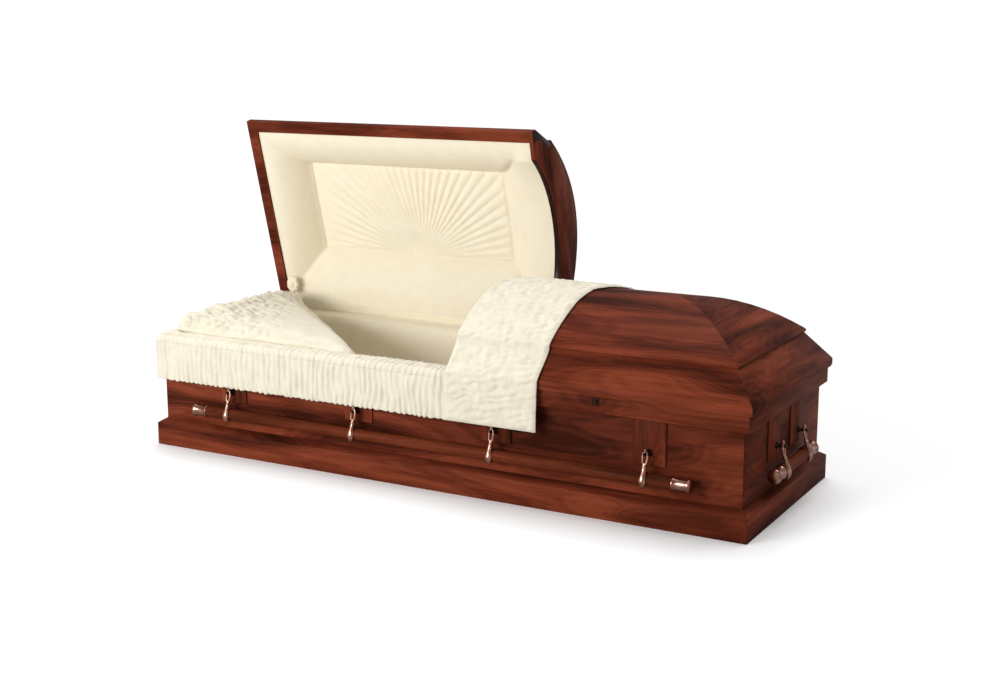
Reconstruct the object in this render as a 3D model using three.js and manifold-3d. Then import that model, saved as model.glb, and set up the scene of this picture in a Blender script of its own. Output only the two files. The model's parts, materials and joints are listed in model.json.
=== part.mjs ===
// A half-couch funeral casket of stained hardwood. The head cap stands open and shows its lining, the
// foot cap is closed under a folded throw, and swing-bar handles hang on all four sides.
// Millimetres, +Z up. The head end points to -X and the hinges are on the +Y side. The origin is the
// centre of the underside.
import * as THREE from "three";
import { mergeVertices } from "three/addons/utils/BufferGeometryUtils.js";
import Module from "manifold-3d";

const wasm = await Module();
wasm.setup();

// Clearance between pieces that touch
const fitGap = 0.3;

// Base moulding, which the casket stands on
const baseLength = 2130;
const baseWidth = 730;
const baseFaceHeight = 76;
const baseBevelHeight = 16;
const baseThickness = 24.7;

// Body box
const wallThickness = 19;
const wallBottom = 20;
const floorThickness = 12;
const cleatHalfWidth = 40;
const rimHeight = 364.5;
const fasciaHeight = 49.5;
const fasciaThickness = 19.2;

// Handle blocks: shallow wedges that meet in an upright ridge, glued to the walls
const blockWidth = 104;
const blockEdge = 5;
const blockRidge = 14;
const blockDrop = 182.5;
const glueDepth = 1;

// Caps: an eave and a hip moulding that carry a pillow-shaped crown
const partingGap = 1.5;
const eaveHeight = 24;
const eaveOverhang = 10.1;
const hipRun = 74;
const hipRise = 90.5;
const hipBoard = 19;
const railWidth = 40;
const crownOverhang = 6;
const crownLip = 8;
const crownRise = 124.5;
const crownThickness = 14;
const crownSeat = 17;
const crownSteps = 9;
const capSplit = 103;
const capSplitGap = 6;
const openAngle = 75.4;

// Header board across the cut end of each cap, with an arched lower edge
const headerThickness = 16;
const headerShell = 5;
const archHalfSpan = 271;
const archRise = 96;
const archSteps = 16;

// Hinges along the back of both caps
const hingeRadius = 2.6;
const hingeOffset = 3;
const hingeLeafHeight = 30;
const hingeLeaf = 1.2;
const hingeRebate = 3;
const hingeEndMargin = 45;
const hingeSides = 12;

// Lock under the eave of the foot cap
const lockReach = 488;
const lockDrop = 14.5;
const lockPlate = 22;
const lockThickness = 1.6;
const lockBarrelRadius = 6;
const lockBarrelProud = 5;
const lockSides = 20;

// Swing-bar handles
const handleShift = 8;
const sideArmInset = 315;
const sideArmCount = 4;
const endArmInset = 265;
const endArmCount = 2;
const pivotDrop = 142.5;
const pivotOffset = 31;
const barDrop = 75;
const barOffset = 34;
const barRadius = 18;
const barOverrun = 145;
const endBarOverrun = 82;
const tipRadius = 20.5;
const tipLength = 58;
const tipDome = 5;
const barSides = 12;

// Arms that hold the bar
const eyeRadius = 8;
const eyeWidth = 12;
const finialRadius = 3.8;
const finialReach = 7.5;
const pinRadius = 3;
const pinSides = 8;
const eyeSides = 12;
const finialSides = 6;
const clampRadius = 22;
const clampWidth = 11;
const shankSides = 8;
// Each row of the shank: out from the wall, how far below the pivot, half width and half depth
const shankRows = [
  [pivotOffset, 3, 4.6, 4.2],
  [34, 19, 3.4, 3.4],
  [40, 40, 4.2, 3.8],
  [48, 60, 7.2, 5.4],
  [53, 77, 8.6, 6],
  [51, 91, 6.2, 4.6],
  [45, 98, 2.6, 2.4],
];

// Ears: a foot on the ridge of the block and two cheeks with a pin
const earHalfWidth = 13;
const earAbove = 10;
const earBelow = 16;
const earFoot = 3;
const cheekGap = 0.4;
const cheekThickness = 3.6;
const cheekRadius = 7;

// Soft interior
const bedTop = 220;
const liningThickness = 22;
const liningDrop = 4.5;
const clothGap = 0.5;
const flapDrop = 128.5;
const flapThickness = 12.5;
const rollHeight = 25;
const rollReach = 60.5;
const rollCorner = 13;
const rollSteps = 3;
const headFlapInset = 19.6;
const capLiningGap = 1;
const capPanelDepth = 134;
const capPanelHeadInset = 158;
const capPanelCutInset = 187;
const capPanelFrontInset = 192;
const capPanelHingeInset = 211;
const capLiningLip = 6;
const capPanelMouth = 1.25;
const capRollSteps = 4;

// Pillow in the head end, cut slantwise on its foot side, and lying over the rim at the head
const pillowOver = 47;
const pillowFrontReach = 691;
const pillowBackReach = 106;
const pillowCrestReach = 61;
const pillowCrestRise = 94.5;
const pillowFootRise = 33.5;
const pillowCorner = 60;
const pillowCornerSteps = 3;
const pillowCornerShare = 0.45;
// Each row of the pillow above the rim: share of its rise and share of its width
const pillowRows = [
  [0, 1],
  [0.55, 0.985],
  [0.88, 0.9],
  [1, 0.6],
];

// Throw that is laid over the foot cap and hangs down the front
const throwThickness = 9;
const throwDrop = 128.5;
const throwEdge = 412;
const throwFlare = 90;
const throwFlareStart = -120;
const throwFlareRun = 250;
const throwBackInset = 34.6;
const throwBackLift = 9.7;

// Sizes that follow from those above
const wallHalfLength = baseLength / 2 - baseThickness - fitGap;
const wallHalfWidth = baseWidth / 2 - baseThickness - fitGap;
const insideHalfLength = wallHalfLength - wallThickness;
const insideHalfWidth = wallHalfWidth - wallThickness;
const fasciaHalfLength = wallHalfLength + fitGap + fasciaThickness;
const fasciaHalfWidth = wallHalfWidth + fitGap + fasciaThickness;
const eaveHalfLength = fasciaHalfLength + eaveOverhang;
const eaveHalfWidth = fasciaHalfWidth + eaveOverhang;
const blockBottom = rimHeight - blockDrop;
const sideArmSpacing = (baseLength - 2 * sideArmInset) / (sideArmCount - 1);
const endArmSpacing = (baseWidth - 2 * endArmInset) / (endArmCount - 1);
const pivotHeight = rimHeight - pivotDrop;
const barHeight = pivotHeight - barDrop;
const capBottom = rimHeight + partingGap;
const eaveTop = capBottom + eaveHeight;
const lockHeight = rimHeight - lockDrop;
const flapBottom = rimHeight - flapDrop;
const headFlapEnd = eaveHalfWidth - headFlapInset;
const pillowFrontEnd = pillowFrontReach - insideHalfLength;
const pillowBackEnd = pillowBackReach - insideHalfLength;
const pillowCrestX = pillowCrestReach - insideHalfLength;
const pillowCrest = rimHeight + pillowCrestRise;
const pillowFootHeight = rimHeight + pillowFootRise;
const throwHem = rimHeight - throwDrop;
const throwBackY = eaveHalfWidth - throwBackInset;
const throwBackZ = eaveTop + (hipRise * throwBackInset) / hipRun + throwBackLift;
const hipTop = eaveTop + hipRise;
const crownInset = hipRun - crownOverhang;
const crownBottom = hipTop + fitGap;
const crownStart = crownBottom + crownLip;
const hingeY = fasciaHalfWidth + hingeOffset;
const hingeZ = rimHeight + partingGap / 2;
const headCut = capSplit - capSplitGap / 2;
const footCut = capSplit + capSplitGap / 2;
const lockX = footCut + lockReach;
const liningTop = rimHeight - liningDrop;
const rollBottom = rimHeight + clothGap;
const rollTop = rollBottom + rollHeight;

const colours = {
  wood: { color: 0x5a2419, roughness: 0.32, metalness: 0 },
  bar: { color: 0x5e2618, roughness: 0.28, metalness: 0 },
  copper: { color: 0xb98470, roughness: 0.25, metalness: 1 },
  dark: { color: 0x2a1c18, roughness: 0.4, metalness: 1 },
  cloth: { color: 0xefe6d0, roughness: 0.85, metalness: 0 },
};

// A solid from triangles over shared points, turned to face outwards
function solidFrom(points, triangles) {
  const bare = new THREE.BufferGeometry()
    .setAttribute("position", new THREE.Float32BufferAttribute(points.flatMap((p) => [...p]), 3))
    .setIndex(triangles.flat());
  const merged = mergeVertices(bare);
  const corner = (i) => new THREE.Vector3().fromBufferAttribute(merged.attributes.position, i);
  const kept = [];
  let volume = 0;
  for (let i = 0; i < merged.index.count; i += 3) {
    const [a, b, c] = [0, 1, 2].map((k) => merged.index.getX(i + k));
    if (a === b || b === c || c === a) continue;
    volume += corner(a).dot(corner(b).cross(corner(c)));
    kept.push([a, b, c]);
  }
  const triVerts = new Uint32Array(kept.flatMap(([a, b, c]) => (volume < 0 ? [a, c, b] : [a, b, c])));
  const vertProperties = merged.attributes.position.array;
  return new wasm.Manifold(new wasm.Mesh({ numProp: 3, vertProperties, triVerts }));
}

// Rings of points joined one to the next, and closed at both ends over the given section
function loft(rings, section) {
  const count = section.length;
  const triangles = [];
  for (let ring = 0; ring + 1 < rings.length; ring++) {
    for (let i = 0; i < count; i++) {
      const [a, b] = [ring * count + i, ring * count + ((i + 1) % count)];
      triangles.push([a, b, b + count], [a, b + count, a + count]);
    }
  }
  const outline = section.map(([u, v]) => new THREE.Vector2(u, v));
  const last = (rings.length - 1) * count;
  const clockwise = THREE.ShapeUtils.isClockWise(outline);
  for (const face of THREE.ShapeUtils.triangulateShape(outline, [])) {
    const [a, b, c] = clockwise ? face.toReversed() : face;
    triangles.push([a, c, b], [last + a, last + b, last + c]);
  }
  return solidFrom(rings.flat(), triangles);
}

// A section carried along stations, each of which turns a section point into a point in space
const sweep = (section, stations) =>
  loft(stations.map((place) => section.map(([u, v]) => place(u, v))), section);

// A closed three.js geometry as a solid
function solidOf(geometry) {
  const bare = geometry.clone();
  bare.deleteAttribute("normal");
  bare.deleteAttribute("uv");
  const merged = mergeVertices(bare);
  const at = merged.attributes.position;
  const points = Array.from({ length: at.count }, (_, i) => [at.getX(i), at.getY(i), at.getZ(i)]);
  const index = merged.index.array;
  const triangles = [];
  for (let i = 0; i < index.length; i += 3) triangles.push([index[i], index[i + 1], index[i + 2]]);
  return solidFrom(points, triangles);
}

// A box between two corners
function block(low, high) {
  const size = high.map((value, i) => value - low[i]);
  const middle = high.map((value, i) => (value + low[i]) / 2);
  return solidOf(new THREE.BoxGeometry(...size).translate(...middle));
}

// A round bar along X, centred on a point
const barAlongX = (radius, length, sides, at = [0, 0, 0]) =>
  solidOf(new THREE.CylinderGeometry(radius, radius, length, sides).rotateZ(Math.PI / 2).translate(...at));

// A named mesh from a solid
function piece(name, solid, look) {
  const { numProp, vertProperties, triVerts } = solid.getMesh();
  const points = new Float32Array((vertProperties.length / numProp) * 3);
  for (let i = 0; i * 3 < points.length; i++) {
    points.set(vertProperties.subarray(i * numProp, i * numProp + 3), i * 3);
  }
  const geometry = new THREE.BufferGeometry()
    .setAttribute("position", new THREE.BufferAttribute(points, 3))
    .setIndex(new THREE.BufferAttribute(triVerts, 1));
  geometry.computeVertexNormals();
  const mesh = new THREE.Mesh(geometry, new THREE.MeshStandardMaterial(colours[look]));
  mesh.name = name;
  return mesh;
}

// The four sides of the casket: the turn that brings a front piece there, and the half sizes it meets
const sides = [
  { name: "front", turn: 0, run: [baseLength / 2, wallHalfLength, fasciaHalfLength] },
  { name: "back", turn: Math.PI, run: [baseLength / 2, wallHalfLength, fasciaHalfLength] },
  { name: "foot_end", turn: Math.PI / 2, run: [baseWidth / 2, wallHalfWidth, fasciaHalfWidth] },
  { name: "head_end", turn: -Math.PI / 2, run: [baseWidth / 2, wallHalfWidth, fasciaHalfWidth] },
].map((side) => {
  const long = side.name === "front" || side.name === "back";
  const offset = long
    ? [baseWidth / 2, wallHalfWidth, fasciaHalfWidth]
    : [baseLength / 2, wallHalfLength, fasciaHalfLength];
  const count = long ? sideArmCount : endArmCount;
  const spacing = long ? sideArmSpacing : endArmSpacing;
  const shift = long ? handleShift * Math.cos(side.turn) : 0;
  const armPlaces = Array.from({ length: count }, (_, i) => shift + (i - (count - 1) / 2) * spacing);
  return { ...side, long, offset, shift, spacing, armPlaces };
});

// A straight moulding with mitred ends along the front: section points are inset and height
function mitredRun(section, halfRun, offset) {
  const station = (end) => (inset, z) => [end * (halfRun - inset - fitGap), inset - offset, z];
  return sweep(section, [station(-1), station(1)]);
}

const baseSection = [
  [0, 0],
  [baseThickness, 0],
  [baseThickness, baseFaceHeight + baseBevelHeight],
  [0, baseFaceHeight],
];
const boardSection = (thickness, bottom, top) => [
  [0, bottom],
  [thickness, bottom],
  [thickness, top],
  [0, top],
];

// One ridged block, standing proud of a wall whose face is at the given offset
function handleBlock(x, offset) {
  const half = blockWidth / 2;
  const outline = [
    [-half, glueDepth],
    [half, glueDepth],
    [half, -blockEdge],
    [0, -blockRidge],
    [-half, -blockEdge],
  ];
  const top = rimHeight - fasciaHeight - fitGap;
  return sweep(outline, [blockBottom, top].map((z) => (u, v) => [x + u, v - offset, z]));
}

// The body: base mouldings, walls with their blocks, fascias, and the floor board with a cleat under it.
// Each long wall is two boards, edge to edge under the blocks.
function buildBody() {
  const group = new THREE.Group();
  for (const side of sides) {
    const turned = new THREE.Group();
    turned.rotation.z = side.turn;
    const [baseRun, wallRun, fasciaRun] = side.run;
    const [baseOffset, wallOffset, fasciaOffset] = side.offset;
    const upperBottom = side.long ? blockBottom : wallBottom;
    let wall = mitredRun(boardSection(wallThickness, upperBottom, rimHeight), wallRun, wallOffset);
    for (const x of side.armPlaces) wall = wall.add(handleBlock(x, wallOffset));
    if (side.long) {
      const lower = boardSection(wallThickness, wallBottom, blockBottom - fitGap);
      turned.add(piece(`wall_${side.name}_lower`, mitredRun(lower, wallRun, wallOffset), "wood"));
    }
    const fascia = boardSection(fasciaThickness, rimHeight - fasciaHeight, rimHeight);
    turned.add(
      piece(`base_moulding_${side.name}`, mitredRun(baseSection, baseRun, baseOffset), "wood"),
      piece(`wall_${side.name}`, wall, "wood"),
      piece(`fascia_${side.name}`, mitredRun(fascia, fasciaRun, fasciaOffset), "wood"),
    );
    group.add(turned);
  }
  const floorHalf = [insideHalfLength - fitGap, insideHalfWidth - fitGap];
  const floor = block(
    [-floorHalf[0], -floorHalf[1], wallBottom],
    [floorHalf[0], floorHalf[1], wallBottom + floorThickness],
  );
  const cleat = block([-cleatHalfWidth, -floorHalf[1], 0], [cleatHalfWidth, floorHalf[1], wallBottom + glueDepth]);
  group.add(piece("floor_board", floor.add(cleat), "wood"));
  return group;
}

// Height of the crown's outer face at an inset from the eave
function crownHeight(inset) {
  const share = (eaveHalfWidth - inset) / (eaveHalfWidth - crownInset);
  return crownStart + crownRise * (1 - share * share);
}

// The crown's rows of inset and height from one inset to the ridge, lowered by a depth
function crownRows(fromInset, depth) {
  return Array.from({ length: crownSteps + 1 }, (_, i) => {
    const inset = THREE.MathUtils.lerp(fromInset, eaveHalfWidth, i / crownSteps);
    return [inset, crownHeight(inset) - depth];
  });
}

// A hipped solid over one cap: rows of inset and height from the bottom to the ridge
function vault(rows, cutX, end) {
  const unitSquare = [
    [0, 0],
    [1, 0],
    [1, 1],
    [0, 1],
  ];
  const rings = rows.map(([inset, z]) => {
    const half = Math.max(eaveHalfWidth - inset, 0);
    const tip = end * (eaveHalfLength - inset);
    return [
      [cutX, -half, z],
      [tip, -half, z],
      [tip, half, z],
      [cutX, half, z],
    ];
  });
  return loft(rings, unitSquare);
}

// Inner face of the hip board, as the inset at a height
const hipNormalRun = hipBoard / Math.cos(Math.atan2(hipRun, hipRise));
const hipInnerInset = (z) => hipNormalRun + ((z - eaveTop) * hipRun) / hipRise;
const hipInnerHeight = (inset) => eaveTop + ((inset - hipNormalRun) * hipRise) / hipRun;

// The frame under the crown: eave, hip and rim rail in one mitred section, with a rebate for the hinge
function capFrame(cutX, end) {
  const section = [
    [0, capBottom],
    [railWidth, capBottom],
    [railWidth, hipInnerHeight(railWidth)],
    [hipInnerInset(hipTop), hipTop],
    [hipRun, hipTop],
    [0, eaveTop],
  ];
  const frame = sweep(section, [
    (inset, z) => [cutX, inset - eaveHalfWidth, z],
    (inset, z) => [end * (eaveHalfLength - inset), inset - eaveHalfWidth, z],
    (inset, z) => [end * (eaveHalfLength - inset), eaveHalfWidth - inset, z],
    (inset, z) => [cutX, eaveHalfWidth - inset, z],
  ]);
  const rebate = block(
    [-baseLength, hingeY - hingeRadius - hingeOffset / 2, rimHeight],
    [baseLength, baseWidth, capBottom + hingeRebate],
  );
  return frame.subtract(rebate);
}

// The crown shell: thick over the cap, and thinned at its cut end to take the header board
function capCrown(cutX, end) {
  const outer = vault([[crownInset, crownBottom], ...crownRows(crownInset, 0)], cutX, end);
  const innerInset = hipRun + crownSeat;
  const below = crownBottom - crownLip;
  const inner = vault(
    [[innerInset, below], ...crownRows(innerInset, crownThickness)],
    cutX - end * crownThickness,
    end,
  );
  const seatInset = crownInset + headerShell + fitGap;
  const rebateEnd = cutX + end * (headerThickness + fitGap);
  const rebate = vault([[seatInset, below], ...crownRows(seatInset, headerShell)], cutX - end, end)
    .intersect(
      block(
        [Math.min(rebateEnd, cutX - end), -baseWidth, 0],
        [Math.max(rebateEnd, cutX - end), baseWidth, baseLength],
      ),
    );
  return outer.subtract(inner).subtract(rebate);
}

// An arch over the rim, as points of Y and Z from one foot to the other and back below the rim
function archOutline(halfSpan, rise) {
  const radius = (halfSpan ** 2 + rise ** 2) / (2 * rise);
  const half = Math.atan2(halfSpan, radius - rise);
  const arch = Array.from({ length: archSteps + 1 }, (_, i) => {
    const angle = THREE.MathUtils.lerp(-half, half, i / archSteps);
    return [radius * Math.sin(angle), capBottom + fitGap + rise - radius * (1 - Math.cos(angle))];
  });
  return [...arch, [halfSpan, rimHeight], [-halfSpan, rimHeight]];
}

// The header board: it closes the cut end from the crown down to an arch over the opening
function capHeader(cutX, end) {
  const seatInset = crownInset + headerShell + 2 * fitGap;
  const railInset = railWidth + fitGap;
  const rows = [
    [railInset, capBottom + fitGap],
    [railInset, hipInnerHeight(railWidth)],
    [hipInnerInset(hipTop) + fitGap, hipTop + fitGap],
    [seatInset, hipTop + fitGap],
    ...crownRows(seatInset, headerShell + fitGap),
  ];
  const inside = cutX + end * headerThickness;
  const slab = block(
    [Math.min(inside, cutX), -baseWidth, 0],
    [Math.max(inside, cutX), baseWidth, baseLength],
  );
  const outline = archOutline(archHalfSpan, archRise);
  const reach = 2 * headerThickness;
  const opening = sweep(outline, [cutX - reach, cutX + reach].map((x) => (y, z) => [x, y, z]));
  return vault(rows, cutX + end * baseWidth, end)
    .add(vault(rows, cutX, end))
    .intersect(slab)
    .subtract(opening);
}

// Both caps, each in a group whose own origin is the hinge line
function buildCap(name, cutX, end, angle) {
  const group = new THREE.Group();
  group.position.set(0, hingeY, hingeZ);
  group.rotation.x = -THREE.MathUtils.degToRad(angle);
  const pieces = [
    piece(`${name}_frame`, capFrame(cutX, end), "wood"),
    piece(`${name}_crown`, capCrown(cutX, end), "wood"),
    piece(`${name}_header`, capHeader(cutX, end), "wood"),
  ];
  for (const mesh of pieces) {
    mesh.position.set(0, -hingeY, -hingeZ);
    group.add(mesh);
  }
  return group;
}

// The long hinge under the back eave of a cap: a barrel and the leaf screwed to the fascia
function hinge(fromX, toX) {
  const [low, high] = [fromX + hingeEndMargin, toX - hingeEndMargin];
  const barrel = barAlongX(hingeRadius, high - low, hingeSides, [(low + high) / 2, hingeY, hingeZ]);
  const face = fasciaHalfWidth + fitGap;
  const leaf = block([low, face, hingeZ - hingeLeafHeight], [high, face + hingeLeaf, hingeZ]);
  return barrel.add(leaf);
}

// The lock in the front fascia: a square plate and a round barrel
function lock() {
  const face = -fasciaHalfWidth - fitGap;
  const half = lockPlate / 2;
  const plate = block(
    [lockX - half, face - lockThickness, lockHeight - half],
    [lockX + half, face, lockHeight + half],
  );
  const barrel = new THREE.CylinderGeometry(lockBarrelRadius, lockBarrelRadius, lockBarrelProud, lockSides)
    .translate(lockX, face - lockBarrelProud / 2, lockHeight);
  return plate.add(solidOf(barrel));
}

// A bar with a turned metal tip on each end, along X through the origin
function handleBar(halfLength) {
  const inner = halfLength - tipLength;
  const half = [
    [barRadius, inner],
    [tipRadius, inner],
    [tipRadius, halfLength - tipDome],
    [tipRadius - tipDome, halfLength],
    [0, halfLength],
  ];
  const profile = [...half.map(([r, along]) => [r, -along]).reverse(), ...half];
  const turned = new THREE.LatheGeometry(profile.map(([r, along]) => new THREE.Vector2(r, along)), barSides);
  return solidOf(turned.rotateZ(Math.PI / 2));
}

// An arm, with its pivot at the origin: an eye and finial, a swelling shank and the clamp on the bar
function handleArm() {
  const barAt = [0, pivotOffset - barOffset, -barDrop];
  const shank = shankRows.map(([out, down, halfWidth, halfDepth]) =>
    Array.from({ length: shankSides }, (_, i) => {
      const angle = (i / shankSides) * 2 * Math.PI;
      return [
        halfWidth * Math.cos(angle),
        pivotOffset - out + halfDepth * Math.sin(angle),
        -down,
      ];
    }),
  );
  const circle = shank[0].map(([x, y]) => [x, y]);
  const finial = new THREE.SphereGeometry(finialRadius, finialSides, finialSides / 2)
    .rotateX(Math.PI / 2)
    .translate(0, 0, finialReach);
  const cutLength = 2 * clampWidth;
  return barAlongX(eyeRadius, eyeWidth, eyeSides)
    .add(solidOf(finial))
    .add(loft(shank, circle))
    .add(barAlongX(clampRadius, clampWidth, barSides, barAt))
    .subtract(barAlongX(barRadius + fitGap, cutLength, barSides, barAt))
    .subtract(barAlongX(pinRadius + fitGap, cutLength, pinSides));
}

// An ear, with the pin's axis at the origin: a foot over the ridge, two cheeks and the pin
function handleEar() {
  const back = pivotOffset - blockRidge - fitGap;
  const slope = (blockRidge - blockEdge) / (blockWidth / 2);
  const outline = [
    [-earHalfWidth, back - earFoot],
    [earHalfWidth, back - earFoot],
    [earHalfWidth, back + slope * earHalfWidth],
    [0, back],
    [-earHalfWidth, back + slope * earHalfWidth],
  ];
  let ear = sweep(outline, [-earBelow, earAbove].map((z) => (x, y) => [x, y, z]));
  const inner = eyeWidth / 2 + cheekGap;
  const outer = inner + cheekThickness;
  for (const hand of [-1, 1]) {
    const [low, high] = [hand * inner, hand * outer].sort((a, b) => a - b);
    const boss = barAlongX(cheekRadius, cheekThickness, pinSides, [(low + high) / 2, 0, 0]);
    const web = block([low, 0, -cheekRadius], [high, back - earFoot / 2, cheekRadius]);
    ear = ear.add(boss).add(web);
  }
  return ear.add(barAlongX(pinRadius, 2 * outer - cheekThickness, pinSides));
}

// The four handles with their arms and ears
function buildHandles() {
  const group = new THREE.Group();
  for (const side of sides) {
    const turned = new THREE.Group();
    turned.rotation.z = side.turn;
    const wallOffset = side.offset[1];
    const reach = ((side.armPlaces.length - 1) / 2) * side.spacing;
    const overrun = side.long ? barOverrun : endBarOverrun;
    const bar = piece(`handle_bar_${side.name}`, handleBar(reach + overrun), "bar");
    bar.position.set(side.shift, -wallOffset - barOffset, barHeight);
    turned.add(bar);
    side.armPlaces.forEach((x, i) => {
      const arm = piece(`handle_arm_${side.name}_${i + 1}`, handleArm(), "copper");
      const ear = piece(`handle_ear_${side.name}_${i + 1}`, handleEar(), "dark");
      for (const mesh of [arm, ear]) {
        mesh.position.set(x, -wallOffset - pivotOffset, pivotHeight);
        turned.add(mesh);
      }
    });
    group.add(turned);
  }
  return group;
}

// The bed fills the box under the lining, and the lining pads the four walls above it
function bed() {
  const half = [insideHalfLength - clothGap, insideHalfWidth - clothGap];
  const bottom = wallBottom + floorThickness + clothGap;
  return block([-half[0], -half[1], bottom], [half[0], half[1], bedTop]);
}

function bodyLining() {
  const half = [insideHalfLength - clothGap, insideHalfWidth - clothGap];
  const inner = half.map((value) => value - liningThickness);
  const bottom = bedTop + clothGap;
  const outside = block([-half[0], -half[1], bottom], [half[0], half[1], liningTop]);
  const hollow = block([-inner[0], -inner[1], 0], [inner[0], inner[1], baseWidth]);
  return outside.subtract(hollow);
}

// The shirred cloth over the rim: a flap outside the fascia, and a roll over the top that presses flat
function flapAndRoll(halfSize, from, to, place) {
  const outer = -halfSize - clothGap - flapThickness;
  const flap = [
    [outer, flapBottom],
    [outer + flapThickness, flapBottom],
    [outer + flapThickness, rimHeight],
    [outer, rimHeight],
  ];
  const inner = outer + flapThickness + rollReach;
  const corner = (centre, start) =>
    Array.from({ length: rollSteps + 1 }, (_, i) => {
      const angle = start - (i / rollSteps) * (Math.PI / 2);
      const z = rollTop - rollCorner + rollCorner * Math.sin(angle);
      return [centre + rollCorner * Math.cos(angle), z];
    });
  const roll = [
    [outer, rollBottom],
    ...corner(outer + rollCorner, Math.PI),
    ...corner(inner - rollCorner, Math.PI / 2),
    [inner, rollBottom],
  ];
  const along = (section) => sweep(section, [from, to].map((run) => (u, z) => place(run, u, z)));
  return { flap: along(flap), roll: along(roll) };
}

function extendover() {
  const outerX = -fasciaHalfLength - clothGap - flapThickness;
  const frontInner = -fasciaHalfWidth - clothGap;
  const front = flapAndRoll(fasciaHalfWidth, outerX, headCut, (x, y, z) => [x, y, z]);
  const headFlap = flapAndRoll(fasciaHalfLength, frontInner + clothGap, headFlapEnd, (y, x, z) => [x, y, z]);
  const rollStart = frontInner + rollReach - clothGap;
  const headRoll = flapAndRoll(fasciaHalfLength, rollStart, headFlapEnd, (y, x, z) => [x, y, z]);
  return { frontFlap: front.flap, headFlap: headFlap.flap, roll: front.roll.add(headRoll.roll) };
}

// The padding inside the head cap: it fills the cap around a framed recess with a flat panel
function capLining() {
  const clear = railWidth + capLiningGap;
  const bottom = capBottom + capLiningGap;
  const innerInset = hipInnerInset(hipTop) + capLiningGap;
  const cutX = headCut - headerThickness - capLiningGap;
  const body = vault(
    [
      [clear, bottom],
      [clear, hipInnerHeight(railWidth)],
      [innerInset, hipTop],
      ...crownRows(innerInset, crownThickness + capLiningGap),
    ],
    cutX,
    -1,
  );
  const lip = clear + capLiningLip;
  const start = { head: lip, cut: capLiningLip, front: lip, hinge: lip };
  const stop = {
    head: capPanelHeadInset,
    cut: capPanelCutInset,
    front: capPanelFrontInset,
    hinge: capPanelHingeInset,
  };
  const ring = (across, z) => {
    const at = (edge) => THREE.MathUtils.lerp(start[edge], stop[edge], across);
    const [lowX, highX] = [at("head") - eaveHalfLength, cutX - at("cut")];
    const [lowY, highY] = [at("front") - eaveHalfWidth, eaveHalfWidth - at("hinge")];
    return [
      [lowX, lowY, z],
      [highX, lowY, z],
      [highX, highY, z],
      [lowX, highY, z],
    ];
  };
  const rings = [ring(0, rimHeight)];
  for (let i = 0; i <= capRollSteps; i++) {
    const angle = (i / capRollSteps) * (Math.PI / 2);
    rings.push(ring(Math.sin(angle), bottom + capLiningGap + capPanelDepth * (1 - Math.cos(angle))));
  }
  const mouth = [
    { x: cutX + capLiningLip, span: archHalfSpan - capLiningLip, rise: archRise - capLiningLip },
    { x: cutX - stop.cut, span: (archHalfSpan * capPanelMouth) / 2, rise: capPanelDepth },
  ];
  const tunnel = mouth.map(({ x, span, rise }) => archOutline(span, rise).map(([y, z]) => [x, y, z]));
  return body
    .subtract(loft(rings, rings[0].map(([x, y]) => [x, y])))
    .subtract(loft(tunnel, archOutline(archHalfSpan, archRise)));
}

// The pillow: a padded wedge whose foot side runs slantwise, wider above the rim than inside it
function pillow() {
  const insideX = -(insideHalfLength - clothGap - liningThickness - clothGap);
  const insideY = insideHalfWidth - clothGap - liningThickness - clothGap;
  const plan = (over) => {
    const corners = [
      [insideX - over, -insideY - over / 2],
      [pillowFrontEnd, -insideY - over / 2],
      [pillowBackEnd, insideY],
      [insideX - over, insideY],
    ].map(([x, y]) => new THREE.Vector2(x, y));
    return corners.flatMap((corner, i) => {
      const before = corners[(i + corners.length - 1) % corners.length].clone().sub(corner);
      const after = corners[(i + 1) % corners.length].clone().sub(corner);
      const radius = Math.min(pillowCorner, pillowCornerShare * Math.min(before.length(), after.length()));
      const start = corner.clone().addScaledVector(before.normalize(), radius);
      const end = corner.clone().addScaledVector(after.normalize(), radius);
      const bend = new THREE.QuadraticBezierCurve(start, corner, end);
      return bend.getPoints(pillowCornerSteps);
    });
  };
  const topAt = (x) => {
    const share = THREE.MathUtils.clamp((x - pillowCrestX) / (pillowFrontEnd - pillowCrestX), 0, 1);
    return THREE.MathUtils.lerp(pillowCrest, pillowFootHeight, share);
  };
  const shrink = (points, share) => {
    const middle = points.reduce((sum, p) => sum.add(p), new THREE.Vector2()).divideScalar(points.length);
    return points.map((p) => middle.clone().lerp(p, share));
  };
  const low = plan(0);
  const high = plan(pillowOver);
  const overRim = rollTop + clothGap;
  const rings = [
    shrink(low, pillowRows[2][1]).map((p) => [p.x, p.y, bedTop + clothGap]),
    low.map((p) => [p.x, p.y, (bedTop + rimHeight) / 2]),
    low.map((p) => [p.x, p.y, overRim]),
  ];
  for (const [rise, width] of pillowRows) {
    rings.push(shrink(high, width).map((p) => [p.x, p.y, THREE.MathUtils.lerp(overRim, topAt(p.x), rise)]));
  }
  return loft(rings, low.map((p) => [p.x, p.y]));
}

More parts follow.
